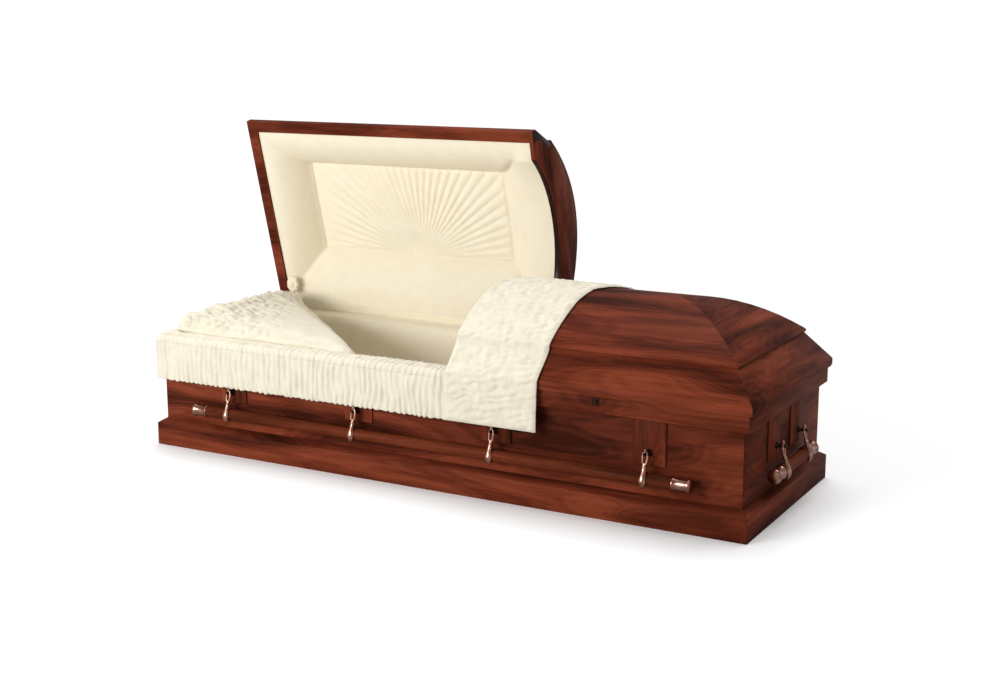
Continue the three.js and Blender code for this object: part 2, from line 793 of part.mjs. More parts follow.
// The throw: one thickness of quilted cloth over the cap's outline, from the front hem to the back hip
function throwCover() {
  const clear = throwThickness + clothGap;
  const eave = -eaveHalfWidth - clothGap;
  const crown = crownRows(crownInset, 0).map(([inset, z]) => [inset - eaveHalfWidth, z]);
  const front = [[eave, throwHem], [eave, eaveTop + clothGap], ...crown];
  const back = crown.slice(0, -1).reverse().map(([y, z]) => [-y, z]);
  const under = [...front, ...back, [throwBackY, throwBackZ]].map(([y, z]) => new THREE.Vector2(y, z));
  const offset = (distance) =>
    under.map((point, i) => {
      const before = under[Math.max(i - 1, 0)];
      const after = under[Math.min(i + 1, under.length - 1)];
      const along = after.clone().sub(before).normalize();
      return point.clone().add(new THREE.Vector2(-along.y, along.x).multiplyScalar(distance));
    });
  const inner = offset(clothGap);
  const outer = offset(clear);
  const left = footCut + clothGap;
  const rings = under.map((point, i) => {
    const right = throwEdge + throwFlare * THREE.MathUtils.smoothstep(
      point.x,
      throwFlareStart,
      throwFlareStart + throwFlareRun,
    );
    return [
      [left, inner[i].x, inner[i].y],
      [right, inner[i].x, inner[i].y],
      [right, outer[i].x, outer[i].y],
      [left, outer[i].x, outer[i].y],
    ];
  });
  return loft(rings, [
    [0, 0],
    [1, 0],
    [1, 1],
    [0, 1],
  ]);
}

// The soft furnishing of the body
function buildSoftParts() {
  const { frontFlap, headFlap, roll } = extendover();
  return new THREE.Group().add(
    piece("bed", bed(), "cloth"),
    piece("body_lining", bodyLining(), "cloth"),
    piece("pillow", pillow(), "cloth"),
    piece("extendover_front_flap", frontFlap, "cloth"),
    piece("extendover_head_flap", headFlap, "cloth"),
    piece("extendover_roll", roll, "cloth"),
  );
}

const casket = new THREE.Group();
const headCap = buildCap("head_cap", headCut, -1, openAngle);
const headLining = piece("head_cap_lining", capLining(), "cloth");
headLining.position.set(0, -hingeY, -hingeZ);
headCap.add(headLining);
casket.add(
  buildBody(),
  headCap,
  buildCap("foot_cap", footCut, 1, 0),
  piece("throw", throwCover(), "cloth"),
  piece("head_cap_hinge", hinge(-fasciaHalfLength, headCut), "dark"),
  piece("foot_cap_hinge", hinge(footCut, fasciaHalfLength), "dark"),
  piece("cap_lock", lock(), "dark"),
  buildHandles(),
  buildSoftParts(),
);

export default casket;
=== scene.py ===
# %% [markdown]
# A half-couch casket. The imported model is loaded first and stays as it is. Every piece made below is in
# metres in the same frame: +X towards the foot end, -Y the open front, +Z up. The sizes in the second
# cell are the ones that the model was built from, so a piece made here lands where its solid is.

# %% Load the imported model
import json
import math

import bmesh
import bpy
from mathutils import Matrix, Vector, noise

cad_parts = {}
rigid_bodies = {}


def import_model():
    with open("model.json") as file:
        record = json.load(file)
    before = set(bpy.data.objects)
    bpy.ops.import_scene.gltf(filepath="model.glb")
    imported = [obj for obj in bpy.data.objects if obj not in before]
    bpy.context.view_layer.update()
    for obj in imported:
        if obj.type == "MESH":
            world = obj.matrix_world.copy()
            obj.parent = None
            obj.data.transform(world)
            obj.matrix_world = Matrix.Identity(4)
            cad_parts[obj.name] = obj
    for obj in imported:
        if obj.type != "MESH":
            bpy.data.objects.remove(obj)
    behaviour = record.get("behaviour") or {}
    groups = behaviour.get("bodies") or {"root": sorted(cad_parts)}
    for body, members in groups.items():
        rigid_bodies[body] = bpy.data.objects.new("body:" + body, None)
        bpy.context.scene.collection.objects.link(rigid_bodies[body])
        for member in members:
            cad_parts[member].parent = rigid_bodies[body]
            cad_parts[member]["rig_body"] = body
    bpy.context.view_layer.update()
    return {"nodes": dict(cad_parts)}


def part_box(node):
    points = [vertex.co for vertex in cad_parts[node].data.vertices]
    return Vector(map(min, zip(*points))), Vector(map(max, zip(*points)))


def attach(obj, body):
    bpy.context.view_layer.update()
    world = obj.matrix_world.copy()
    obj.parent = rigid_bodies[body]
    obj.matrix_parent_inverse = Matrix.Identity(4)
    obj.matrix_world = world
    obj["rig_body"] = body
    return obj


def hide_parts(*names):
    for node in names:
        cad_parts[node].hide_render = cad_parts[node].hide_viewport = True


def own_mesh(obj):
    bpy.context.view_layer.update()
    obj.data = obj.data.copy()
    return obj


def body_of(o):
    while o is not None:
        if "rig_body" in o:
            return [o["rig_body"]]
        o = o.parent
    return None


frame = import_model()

# %% Sizes that the pieces share
EAVE_HALF_LENGTH = 1.0696
EAVE_HALF_WIDTH = 0.3696
CROWN_HALF_WIDTH = 0.3016
CROWN_START = 0.4888
CROWN_RISE = 0.1245
WALL_HALF_LENGTH = 1.040
WALL_HALF_WIDTH = 0.340
WALL_JOINT = 0.18185
HEAD_CUT = 0.100
FOOT_CUT = 0.106
ARCH_HALF_SPAN = 0.271
ARCH_RISE = 0.096
ARCH_FOOT = 0.3663
HINGE = Vector((0, 0.3625, 0.36525))
OPEN_ANGLE = math.radians(75.4)
print("cap opens", round(math.degrees(OPEN_ANGLE), 1), "degrees about", tuple(HINGE))

# %% [markdown]
# Small helpers keep the rest short. `node` adds one shader or geometry node and `fill` sets its inputs,
# where an input may be a value or another node's output. `new_group` and `close_group` start and end a
# shader group. `mesh_piece` turns points and faces into an object, and `finish_piece` gives a piece its
# body and its material, and hides the solids that it stands in for.

# %% Helpers
def fill(tree, made, values):
    for key, value in values.items():
        socket = made.inputs[key]
        if isinstance(value, bpy.types.NodeSocket):
            tree.links.new(value, socket)
        else:
            socket.default_value = value


def node(tree, kind, values=None, **settings):
    made = tree.nodes.new(kind)
    for key, value in settings.items():
        setattr(made, key, value)
    fill(tree, made, values or {})
    return made


def maths(tree, operation, *values):
    return node(tree, "ShaderNodeMath", dict(enumerate(values)), operation=operation).outputs[0]


def noise_at(tree, place, stretch=None, **values):
    """Noise at this place, drawn out by a vector if one is given."""
    if stretch:
        place = node(tree, "ShaderNodeVectorMath", {0: place, 1: stretch}, operation="MULTIPLY").outputs[0]
    return node(tree, "ShaderNodeTexNoise", {"Vector": place, **values}).outputs["Fac"]


def new_group(name, inputs, outputs):
    group = bpy.data.node_groups.new(name, "ShaderNodeTree")
    group.interface.new_socket("Position", in_out="INPUT", socket_type="NodeSocketVector")
    for way, names in (("INPUT", inputs), ("OUTPUT", outputs)):
        for one in names:
            group.interface.new_socket(one, in_out=way, socket_type="NodeSocketFloat")
    return group, group.nodes.new("NodeGroupInput").outputs


def close_group(group, results):
    fill(group, group.nodes.new("NodeGroupOutput"), results)
    return group


def bumped(tree, height, strength, distance):
    return node(tree, "ShaderNodeBump", {"Height": height, "Strength": strength,
                                         "Distance": distance}).outputs["Normal"]


def mesh_piece(name, points, faces, smooth=True):
    mesh = bpy.data.meshes.new(name)
    mesh.from_pydata([tuple(p) for p in points], [], faces)
    mesh.validate()
    mesh.polygons.foreach_set("use_smooth", [smooth] * len(mesh.polygons))
    piece = bpy.data.objects.new(name, mesh)
    bpy.context.scene.collection.objects.link(piece)
    return piece


def finish_piece(piece, body, material, replaced=()):
    piece.data.materials.clear()
    piece.data.materials.append(material)
    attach(piece, body)
    if replaced:
        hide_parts(*replaced)


def applied(piece):
    depsgraph = bpy.context.evaluated_depsgraph_get()
    mesh = bpy.data.meshes.new_from_object(piece.evaluated_get(depsgraph))
    piece.modifiers.clear()
    piece.data = mesh
    return piece


def shade_smooth(piece):
    piece.data.polygons.foreach_set("use_smooth", [True] * len(piece.data.polygons))


def ramp(tree, factor, stops):
    made = node(tree, "ShaderNodeValToRGB", {"Fac": factor})
    elements = made.color_ramp.elements
    while len(elements) < len(stops):
        elements.new(0.5)
    for element, (place, colour) in zip(elements, stops):
        element.position = place
        element.color = (*colour, 1)
    return made.outputs["Color"]


def new_material(name):
    material = bpy.data.materials.new(name)
    material.use_nodes = True
    tree = material.node_tree
    return material, tree, tree.nodes["Principled BSDF"]


print("helpers ready")

# %% [markdown]
# The camera comes first, because everything is judged through it. Its place was solved from the corners
# of the mouldings in the photograph, and it is set as a plain matrix: the columns are the camera's right,
# up and backward directions.

# %% Camera
def place_camera():
    camera = bpy.data.objects.new("camera", bpy.data.cameras.new("camera"))
    bpy.context.scene.collection.objects.link(camera)
    camera.data.sensor_width = 36
    camera.data.lens = 53.40
    right = Vector((0.874173, 0.485615, 0))
    up = Vector((-0.098718, 0.177706, 0.979120))
    back = right.cross(up)
    turn = Matrix((right, up, back)).transposed()
    camera.matrix_world = Matrix.Translation((2.36424, -4.11137, 1.39381)) @ turn.to_4x4()
    bpy.context.scene.camera = camera


place_camera()
print("camera", tuple(round(v, 3) for v in bpy.context.scene.camera.matrix_world.translation))

# %% [markdown]
# The picture was lit by a very large soft light from above and a little behind, which throws the soft
# shadow in front of the moulding, with a weaker fill from the front and the left. A sun with a wide angle
# gives the first evenly over the whole floor, and an area light gives the second. A white surround with a
# low rim hides the horizon. The floor looks white, but sends back less light than it shows, as if the
# casket had stood on grey paper that was whitened afterwards: this keeps its end and its lower boards dark.

# %% Floor and lights
def area_light(name, place, aim, size, power):
    data = bpy.data.lights.new(name, "AREA")
    data.shape = "RECTANGLE"
    data.size, data.size_y = size
    data.energy = power
    light = bpy.data.objects.new(name, data)
    light.location = place
    light.rotation_euler = (Vector(aim) - Vector(place)).to_track_quat("-Z", "Y").to_euler()
    bpy.context.scene.collection.objects.link(light)


def set_floor():
    """A square floor, and round it a ring of flat strips with a low rim."""
    corners = [(-1, -1), (1, -1), (1, 1), (-1, 1)]
    floor = mesh_piece("floor", [(x * 12, y * 12, 0) for x, y in corners], [(0, 1, 2, 3)], False)
    rings = [(12, 0), (30, 0), (30, 4)]
    strips = [(i * 4 + k, i * 4 + 4 + k, i * 4 + 4 + (k + 1) % 4, i * 4 + (k + 1) % 4)
              for i in (0, 1) for k in range(4)]
    backdrop = mesh_piece("backdrop", [(x * reach, y * reach, z) for reach, z in rings for x, y in corners],
                          strips, False)
    white, tree, shader = new_material("backdrop_white")
    fill(tree, shader, {"Base Color": (0, 0, 0, 1), "Specular IOR Level": 0.0,
                        "Emission Color": (1, 1, 1, 1), "Emission Strength": 1.05})
    backdrop.data.materials.append(white)
    paper, tree, shader = new_material("floor_paper")
    to_camera = node(tree, "ShaderNodeLightPath").outputs["Is Camera Ray"]
    tone = node(tree, "ShaderNodeMapRange", {"Value": to_camera, "To Min": 0.36, "To Max": 1.0}).outputs[0]
    fill(tree, shader, {"Base Color": tone, "Roughness": 0.9, "Specular IOR Level": 0.0,
                        "Emission Color": (1, 1, 1, 1), "Emission Strength": 0.08})
    floor.data.materials.append(paper)


def set_lights():
    world = bpy.data.worlds.new("world")
    world.use_nodes = True
    fill(world.node_tree, world.node_tree.nodes["Background"], {"Color": (1, 1, 1, 1), "Strength": 0.37})
    bpy.context.scene.world = world
    sky = bpy.data.objects.new("sky_panel", bpy.data.lights.new("sky_panel", "SUN"))
    sky.data.energy = 1.85
    sky.data.angle = math.radians(50)
    sky.rotation_euler = Vector((0.05, -0.36, -1)).to_track_quat("-Z", "Y").to_euler()
    bpy.context.scene.collection.objects.link(sky)
    area_light("front_fill", (-1.5, -4.0, 1.5), (0, 0, 0.45), (2.6, 1.3), 130)


set_floor()
set_lights()
print("stage set")

# %% [markdown]
# Stained hardwood has three scales of pattern: broad figure, where the saw cut the growth rings into long
# arches, fine streaks along the grain, and short dark pores. The group below makes all three from noise
# that is stretched along the grain. It reads an attribute called grain, which each wood piece stores for
# every face corner, with its first number running along the board. So the grain turns at a mitre, as it
# does in real joinery, though the whole frame is one mesh.

# %% Wood grain group
def wood_grain_group():
    group, given = new_group("wood_grain", ("Figure", "Streaks", "Pores"), ("Tone", "Pore mask", "Height"))
    place = given["Position"]
    broad = noise_at(group, place, (1.7, 9.0, 9.0), Scale=1.0, Detail=1.5, Roughness=0.5, Distortion=0.6)
    rings = maths(group, "SINE", maths(group, "MULTIPLY", broad, 95.0))
    streaks = noise_at(group, place, (3.4, 62.0, 62.0), Scale=1.0, Detail=4.0, Roughness=0.6)
    hair = noise_at(group, place, (38.0, 1100.0, 1100.0), Scale=1.0, Detail=1.0)
    pores = node(group, "ShaderNodeMapRange", {"Value": hair, "From Min": 0.60, "From Max": 0.70}).outputs[0]
    pores = maths(group, "MULTIPLY", pores, given["Pores"])
    cloud = maths(group, "MULTIPLY", maths(group, "SUBTRACT", broad, 0.5), 1.35)
    ringed = maths(group, "MULTIPLY", maths(group, "MULTIPLY_ADD", rings, 0.045, cloud), given["Figure"])
    streaked = maths(group, "MULTIPLY", maths(group, "SUBTRACT", streaks, 0.5), given["Streaks"])
    tone = maths(group, "ADD", maths(group, "ADD", ringed, streaked), 0.5)
    height = maths(group, "SUBTRACT", tone, pores)
    return close_group(group, {"Tone": tone, "Pore mask": pores, "Height": height})


wood_grain = wood_grain_group()
print("group", wood_grain.name, "nodes", len(wood_grain.nodes))

# %% [markdown]
# Three woods use the group: the stained hardwood of the body, the plainer wood of the bars, and a nearly
# black wood for the cut ends and arches of the caps. The same wood is laid on the thin sides of the blocks as
# painted shade for the gap round them. Each is a ramp from dark to light over the group's tone.

# %% Wood materials
def wood_material(name, dark, middle, light, roughness, coat, figure=1.0):
    material, tree, shader = new_material(name)
    place = node(tree, "ShaderNodeAttribute", attribute_name="grain").outputs["Vector"]
    grain = node(tree, "ShaderNodeGroup", {}, node_tree=wood_grain)
    fill(tree, grain, {"Position": place, "Figure": figure, "Streaks": 0.62, "Pores": 0.4})
    grain = grain.outputs
    colour = ramp(tree, grain["Tone"], [(0.22, dark), (0.5, middle), (0.8, light)])
    half_dark = (*(0.5 * part for part in dark), 1)
    pored = node(tree, "ShaderNodeMix", {"Factor": grain["Pore mask"], "A": colour, "B": half_dark},
                 data_type="RGBA")
    gloss = node(tree, "ShaderNodeMapRange", {"Value": grain["Tone"], "To Min": roughness + 0.06,
                                              "To Max": roughness - 0.04}).outputs[0]
    fill(tree, shader, {"Base Color": pored.outputs["Result"], "Roughness": gloss,
                        "Normal": bumped(tree, grain["Height"], 0.12, 0.0006),
                        "Coat Weight": coat, "Coat Roughness": 0.16, "Specular IOR Level": 0.03})
    return material


stained_wood = wood_material("stained_hardwood", (0.040, 0.0078, 0.0034), (0.128, 0.0245, 0.0108),
                             (0.245, 0.052, 0.0220), 0.45, 0.0)
bar_wood = wood_material("bar_hardwood", (0.050, 0.0105, 0.0040), (0.125, 0.026, 0.0095),
                         (0.22, 0.050, 0.019), 0.45, 0.0, 0.6)
# Nearly black wood for the cut ends and arches of the caps; on the thin sides of the blocks it is painted
# shade for the gap round them.
dark_edge = wood_material("dark_stained_edge", (0.010, 0.004, 0.003), (0.018, 0.006, 0.004),
                          (0.03, 0.009, 0.006), 0.4, 0.2, 0.5)
print("wood materials ready")

# %% [markdown]
# The CAD solids have the right shape but razor edges. Real mouldings are sanded, so their edges catch a
# thin line of light. Each rigid wood node is copied, its loose triangles are merged and its flat faces
# joined, and a small bevel rounds what is left. The grain attribute is stored on the same copy: along X on
# the long boards, along Y on the end boards and the header, and upright on the blocks behind the handles.

# %% Rounded wooden boards
EDGE_ROUNDING = 0.0016
SOFT_EDGE = math.radians(35)
JOINT_REACH = 0.0004
SAME_POINT = 2e-6


def with_cap_closed(name, point):
    """Where this point of a piece would be with the head cap closed."""
    if name.startswith("head_cap"):
        return Matrix.Rotation(OPEN_ANGLE, 3, "X") @ (point - HINGE) + HINGE
    return point


def grain_axis_of(name, face):
    """The row axis that the board's grain follows at this face."""
    centre = face.calc_center_median()
    if name.startswith("wall_"):
        long_wall = name in ("wall_front", "wall_back")
        out = abs(centre.y) - WALL_HALF_WIDTH if long_wall else abs(centre.x) - WALL_HALF_LENGTH
        if out > 0.0015:
            return 2
        return 0 if long_wall else 1
    if name.endswith(("_foot_end", "_head_end", "_header")):
        return 1
    if name.endswith(("_cap_frame", "_cap_crown")):
        return cap_grain_axis(name, centre)
    return 0


def cap_grain_axis(name, centre):
    """In a cap the end run is mitred to the front and back runs."""
    centre = with_cap_closed(name, centre)
    end = abs(centre.x) - (EAVE_HALF_LENGTH - EAVE_HALF_WIDTH)
    return 1 if end > abs(centre.y) else 0


def store_grain(mesh, name, axis_of, shift):
    layer = mesh.loops.layers.float_vector.new("grain")
    for face in mesh.faces:
        axis = axis_of(face)
        for loop in face.loops:
            p = with_cap_closed(name, loop.vert.co)
            order = {0: (p.x, p.y, p.z), 1: (p.y + 3.1, p.x, p.z), 2: (p.z + 5.3, p.x, p.y)}[axis]
            loop[layer] = (order[0] + shift, order[1] + shift * 0.37, order[2])


def is_dark_edge(name, face):
    """Nearly black: the cut ends and arches of the caps, and the thin block sides as painted shade for the
    gap.
    """
    centre = with_cap_closed(name, face.calc_center_median())
    normal = with_cap_closed(name, face.calc_center_median() + face.normal) - centre
    if name.startswith("wall_"):
        # The thin sides of a block get the nearly black wood as painted shade, standing in for the shadow in
        # the gap round the block.
        out, across = ((abs(centre.x) - WALL_HALF_LENGTH, normal.x) if name.endswith("_end")
                       else (abs(centre.y) - WALL_HALF_WIDTH, normal.y))
        return out > 0.0005 and abs(across) < 0.5
    if name.endswith("_header"):
        return normal.z < -0.3 and abs(centre.y) < 0.29
    cut = HEAD_CUT if name.startswith("head_cap") else FOOT_CUT
    return name.endswith(("_cap_frame", "_cap_crown")) and abs(normal.x) > 0.6 and abs(centre.x - cut) < 0.002


def close_joint(mesh, height):
    """Joins two boards that meet edge to edge: their facing faces go and their edges are pulled together."""
    near = {v for v in mesh.verts if abs(v.co.z - height) < JOINT_REACH}
    inner = [f for f in mesh.faces if all(v in near for v in f.verts)]
    bmesh.ops.delete(mesh, geom=inner, context="FACES_ONLY")
    for vertex in near:
        vertex.co.z = height
    bmesh.ops.remove_doubles(mesh, verts=mesh.verts, dist=SAME_POINT)


def rounded_board(name):
    source = bpy.data.objects[name]
    nodes = [n for n in (name, name + "_lower") if n in frame["nodes"]]
    mesh = bmesh.new()
    for one in nodes:
        mesh.from_mesh(bpy.data.objects[one].data)
    bmesh.ops.remove_doubles(mesh, verts=mesh.verts, dist=SAME_POINT)
    if len(nodes) > 1:
        close_joint(mesh, WALL_JOINT)
    bmesh.ops.dissolve_limit(mesh, angle_limit=math.radians(0.6), verts=mesh.verts, edges=mesh.edges)
    piece = mesh_piece(name + "_finished", [], [])
    mesh.to_mesh(piece.data)
    mesh.free()
    rounding = piece.modifiers.new("bevel", "BEVEL")
    rounding.width = EDGE_ROUNDING
    rounding.segments = 2
    rounding.limit_method = "ANGLE"
    rounding.angle_limit = math.radians(28)
    applied(piece)
    mesh = bmesh.new()
    mesh.from_mesh(piece.data)
    store_grain(mesh, name, lambda face: grain_axis_of(name, face), sum(map(ord, name)) * 0.013)
    for face in mesh.faces:
        face.smooth = True
        face.material_index = int(is_dark_edge(name, face))
    for edge in mesh.edges:
        if len(edge.link_faces) == 2:
            edge.smooth = edge.calc_face_angle(0) < SOFT_EDGE
    mesh.to_mesh(piece.data)
    mesh.free()
    dark = [face.material_index for face in piece.data.polygons]
    finish_piece(piece, body_of(source)[0], stained_wood, nodes)
    piece.data.materials.append(dark_edge)
    piece.data.polygons.foreach_set("material_index", dark)
    return piece


rigid_boards = [
    name for name in frame["nodes"]
    if name.startswith(("base_moulding_", "wall_", "fascia_", "floor_")) and not name.endswith("_lower")
    or name.endswith(("_cap_frame", "_cap_header", "_cap_crown"))
]
boards = {name: rounded_board(name) for name in rigid_boards}
print("boards", len(boards), "faces", sum(len(b.data.polygons) for b in boards.values()))

# %% [markdown]
# The handle metal is copper plate that was polished and then toned, so it is bright on the swellings and
# brown in the hollows. A pointiness-like mask would need a dense mesh, so soft noise does the toning. The
# ears, hinges and lock are dark bronze. Both use one group for the cloudy tone.

# %% Metal materials
def toned_metal_group():
    group, given = new_group("metal_tone", (), ("Cloud", "Brushing"))
    return close_group(group, {"Cloud": noise_at(group, given["Position"], Scale=60.0, Detail=3.0),
                               "Brushing": noise_at(group, given["Position"], Scale=900.0, Detail=2.0)})


def metal_material(name, dark, light, roughness):
    material, tree, shader = new_material(name)
    place = node(tree, "ShaderNodeTexCoord").outputs["Object"]
    toned = node(tree, "ShaderNodeGroup", {}, node_tree=metal_tone)
    fill(tree, toned, {"Position": place})
    cloud, brushing = toned.outputs["Cloud"], toned.outputs["Brushing"]
    gloss = node(tree, "ShaderNodeMapRange", {"Value": brushing, "To Min": roughness - 0.05,
                                              "To Max": roughness + 0.08}).outputs[0]
    fill(tree, shader, {"Base Color": ramp(tree, cloud, [(0.3, dark), (0.7, light)]), "Roughness": gloss,
                        "Metallic": 1.0, "Normal": bumped(tree, brushing, 0.08, 0.0003)})
    return material


metal_tone = toned_metal_group()
copper = metal_material("copper_plate", (0.27, 0.115, 0.080), (0.56, 0.31, 0.235), 0.24)
dark_bronze = metal_material("dark_bronze", (0.012, 0.007, 0.005), (0.035, 0.018, 0.014), 0.42)
for name in frame["nodes"]:
    if name.startswith("handle_ear_") or name.endswith("_hinge") or name == "cap_lock":
        bpy.data.objects[name].data.materials.clear()
        bpy.data.objects[name].data.materials.append(dark_bronze)
print("metals ready")

# %% [markdown]
# A swing-bar arm is a small casting: an eye that hangs on the ear's pin, a finial above it, a slender
# shank that swells to a teardrop in front of the bar, and two rings round the bar. The eye, finial, shank
# and collar are tubes of changing radius along a smooth line, which one helper makes. A second helper makes
# shapes of revolution, for the ears and the bars further down, and a third makes the rings.

# %% Arm shape
def smooth_line(rows, steps):
    """Catmull-Rom through rows of numbers, the same number of steps between each two."""
    made = []
    for i in range(len(rows) - 1):
        a, b, c, d = (rows[max(i - 1, 0)], rows[i], rows[i + 1], rows[min(i + 2, len(rows) - 1)])
        for k in range(steps):
            t = k / steps
            made.append([
                0.5 * (2 * q + (r - p) * t + (2 * p - 5 * q + 4 * r - s) * t * t
                       + (3 * q - p - 3 * r + s) * t ** 3)
                for p, q, r, s in zip(a, b, c, d)
            ])
    return made + [list(rows[-1])]


def skinned(points, rings, sides):
    """Faces over rings of points, with a flat face at each end."""
    faces = []
    for i in range(rings - 1):
        for k in range(sides):
            a, b = i * sides + k, i * sides + (k + 1) % sides
            faces.append((a, b, b + sides, a + sides))
    faces.append(tuple(range(sides - 1, -1, -1)))
    faces.append(tuple(range(len(points) - sides, len(points))))
    return points, faces


def tube(centres, radii, sides, side_axis=Vector((1, 0, 0))):
    """A closed tube. Each radius is a pair: along side_axis, and across it."""
    points = []
    for i, centre in enumerate(centres):
        before, after = centres[max(i - 1, 0)], centres[min(i + 1, len(centres) - 1)]
        run = (after - before).normalized()
        across = run.cross(side_axis).normalized()
        for k in range(sides):
            turn = 2 * math.pi * k / sides
            points.append(centre + side_axis * (radii[i][0] * math.cos(turn))
                          + across * (radii[i][1] * math.sin(turn)))
    return skinned(points, len(centres), sides)


def joined(parts):
    points, faces = [], []
    for part_points, part_faces in parts:
        faces += [tuple(v + len(points) for v in face) for face in part_faces]
        points += part_points
    return points, faces


def lathe(profile, start, run, across, sides=36):
    """A shape of revolution about a line, from pairs of place along it and radius."""
    up = run.cross(across)
    points = []
    for place, radius in profile:
        for k in range(sides):
            turn = 2 * math.pi * k / sides
            points.append(start + run * place + (across * math.cos(turn) + up * math.sin(turn)) * radius)
    return skinned(points, len(profile), sides)


def ring_round_x(centre, radius, wire, segments=28, sides=10):
    points, faces = [], []
    for i in range(segments):
        a = 2 * math.pi * i / segments
        out = Vector((0, math.cos(a), math.sin(a)))
        for k in range(sides):
            b = 2 * math.pi * k / sides
            along = Vector((wire * 1.15 * math.sin(b), 0, 0))
            points.append(centre + out * (radius + wire * math.cos(b)) + along)
    for i in range(segments):
        for k in range(sides):
            j, m = (i + 1) % segments, (k + 1) % sides
            faces.append((i * sides + k, i * sides + m, j * sides + m, j * sides + k))
    return points, faces


def closed_outward(mesh):
    made = bmesh.new()
    made.from_mesh(mesh)
    bmesh.ops.remove_doubles(made, verts=made.verts, dist=1e-6)
    bmesh.ops.recalc_face_normals(made, faces=made.faces)
    made.to_mesh(mesh)
    made.free()


def arm_shape():
    """One arm at x = 0 against a wall at y = 0, hanging outwards in -Y."""
    shank_rows = [
        (0.0360, 0.1950, 0.0052, 0.0040), (0.0400, 0.182, 0.0062, 0.0048), (0.0440, 0.170, 0.0076, 0.0056),
        (0.0500, 0.154, 0.0106, 0.0070), (0.0530, 0.142, 0.0114, 0.0074), (0.0512, 0.131, 0.0082, 0.0060),
        (0.0468, 0.1240, 0.0034, 0.0030), (0.0450, 0.1220, 0.0012, 0.0012),
    ]
    hoop = []
    for i in range(33):
        turn = 2 * math.pi * i / 32
        down = 0.0195 * (1 - math.cos(turn))
        wide = 0.0074 * math.sin(turn) * (1 + 0.15 * math.cos(turn))
        hoop.append(Vector((wide, -0.031 - 0.17 * down, 0.2265 - down)))
    line = smooth_line(shank_rows, 4)
    shank = tube([Vector((0, -out, z)) for out, z, _, _ in line], [tuple(row[2:]) for row in line], 12)
    eye = tube(hoop, [(0.0037, 0.0037)] * len(hoop), 10, Vector((0.02, -1, 0.17)).normalized())
    knob = [(0.2240, 0.0040), (0.2262, 0.0060), (0.2280, 0.0062), (0.2292, 0.0042), (0.2302, 0.0040),
            (0.2318, 0.0052), (0.2340, 0.0050), (0.2355, 0.0034), (0.2362, 0.0012)]
    finial = tube([Vector((0, -0.031, z)) for z, _ in knob], [(r, r) for _, r in knob], 10)
    clamps = [ring_round_x(Vector((x, -0.034, 0.147)), 0.0192, 0.0022) for x in (-0.0052, 0.0052)]
    boss = [(0.1885, 0.0054), (0.1860, 0.0080), (0.1825, 0.0084), (0.1795, 0.0062)]
    collar = tube([Vector((0, -0.0390, z)) for z, _ in boss], [(r, r * 0.8) for _, r in boss], 12)
    piece = mesh_piece("arm_shape", *joined([shank, eye, finial, collar, *clamps]))
    closed_outward(piece.data)
    piece.data.materials.append(copper)
    return piece


arm_master = arm_shape()
print("arm faces", len(arm_master.data.polygons))

# %% [markdown]
# The arms and the ears that carry them repeat along each side, so Geometry Nodes place them: a line of
# points gets one instance each, turned to its side of the casket, and the instances are made real so that
# they export.

# %% Rows of arms and ears
def arm_row_tree():
    tree = bpy.data.node_groups.new("arm_row", "GeometryNodeTree")
    for name, kind in (("Geometry", "NodeSocketGeometry"), ("Arm", "NodeSocketObject"),
                       ("Count", "NodeSocketInt"), ("Start", "NodeSocketVector"),
                       ("Step", "NodeSocketVector"), ("Turn", "NodeSocketRotation"),
                       ("Finish", "NodeSocketMaterial")):
        tree.interface.new_socket(name, in_out="INPUT", socket_type=kind)
    tree.interface.new_socket("Geometry", in_out="OUTPUT", socket_type="NodeSocketGeometry")
    given = tree.nodes.new("NodeGroupInput").outputs
    line = node(tree, "GeometryNodeMeshLine", {"Count": given["Count"], "Start Location": given["Start"],
                                               "Offset": given["Step"]}, mode="OFFSET")
    arm = node(tree, "GeometryNodeObjectInfo", {"Object": given["Arm"]}, transform_space="RELATIVE")
    row = node(tree, "GeometryNodeInstanceOnPoints", {"Points": line.outputs["Mesh"],
                                                      "Instance": arm.outputs["Geometry"],
                                                      "Rotation": given["Turn"]})
    real = node(tree, "GeometryNodeRealizeInstances", {"Geometry": row.outputs["Instances"]})
    dressed = node(tree, "GeometryNodeSetMaterial", {"Geometry": real.outputs["Geometry"],
                                                     "Material": given["Finish"]})
    tree.links.new(dressed.outputs["Geometry"], tree.nodes.new("NodeGroupOutput").inputs[0])
    return tree


def set_inputs(modifier, values):
    for item in modifier.node_group.interface.items_tree:
        if item.in_out == "INPUT" and item.name in values:
            modifier[item.identifier] = values[item.name]


def ear_shape():
    """A small round foot on the ridge of the block, with the stalk and pin that carry an arm."""
    foot = lathe([(0, 0.0125), (0.0025, 0.0125), (0.0050, 0.0100), (0.0075, 0.0062), (0.0200, 0.0052),
                  (0.0250, 0.0056), (0.0295, 0.0048), (0.0315, 0.0020)],
                 Vector((0, -0.0105, 0.2200)), Vector((0, -1, 0.02)).normalized(), Vector((1, 0, 0)), 20)
    piece = mesh_piece("ear_shape", *foot)
    closed_outward(piece.data)
    piece.data.materials.append(dark_bronze)
    return piece


def hung_row(side, turn, wall, body, kind, master, finish):
    """A row of arms or ears along one side, in place of the solids of the same kind."""
    nodes = sorted(n for n in frame["nodes"] if n.startswith(f"handle_{kind}_{side}_"))
    centres = [sum(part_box(n), Vector()) / 2 for n in nodes]
    along = 1 if side.endswith("_end") else 0
    foot = Vector(centres[0])
    foot[along] = centres[0][along]
    foot[1 - along] = wall
    foot.z = 0
    step = centres[1] - centres[0]
    piece = mesh_piece(f"handle_{kind}s_{side}", [(0, 0, 0)], [])
    modifier = piece.modifiers.new(kind, "NODES")
    modifier.node_group = arm_rows
    set_inputs(modifier, {"Arm": master, "Count": len(nodes), "Start": foot[:], "Step": step[:],
                          "Turn": (0.0, 0.0, turn), "Finish": finish})
    applied(piece)
    shade_smooth(piece)
    finish_piece(piece, body, finish, nodes)
    return piece


